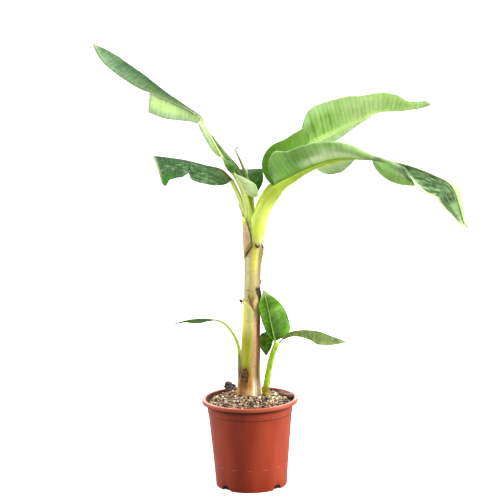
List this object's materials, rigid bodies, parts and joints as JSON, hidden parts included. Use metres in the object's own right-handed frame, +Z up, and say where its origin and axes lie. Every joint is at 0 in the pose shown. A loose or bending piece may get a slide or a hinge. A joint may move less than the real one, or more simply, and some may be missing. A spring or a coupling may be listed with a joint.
{
  "type": "potted banana plant",
  "caption": "Banana plant in a round terracotta-coloured nursery pot: a leaning trunk of leaf sheaths, broad arching torn leaves at its crown and small side shoots at its foot",
  "frame": {"origin": "centre of the pot's flat underside, on the surface it stands on", "axes": "+Z up the plant, +X towards the lower right leaf, +Y towards the back leaf; the side seen in the picture faces -Y"},
  "size_m": [0.719, 0.2852, 0.8721],
  "materials": {
    "pot": "satin",
    "potting_mix": "matte",
    "bark": "matte",
    "sheath": "satin",
    "stalk": "satin",
    "blade": "satin",
    "young_blade": "satin"
  },
  "bodies": {
    "root": {"pot": "pot", "potting_mix": "potting_mix", "bark_flake_left": "bark", "bark_flake_right": "bark", "trunk": "sheath", "shoot_right_stem": "stalk", "shoot_left_stem": "stalk", "petiole_right_low": "stalk", "petiole_left_high": "stalk", "petiole_left_low": "stalk", "petiole_right_high": "stalk", "petiole_back": "stalk", "new_leaf_spear": "stalk", "leaf_right_low_inner": "blade", "leaf_right_low_outer": "blade", "leaf_right_high_inner": "blade", "leaf_right_high_outer": "blade", "leaf_left_high_inner": "blade", "leaf_left_high_outer": "blade", "leaf_left_low": "blade", "leaf_back": "blade", "shoot_right_leaf_upright": "young_blade", "shoot_right_leaf_side": "young_blade", "shoot_right_leaf_back": "young_blade", "shoot_left_leaf": "young_blade"}
  },
  "joints": []
}
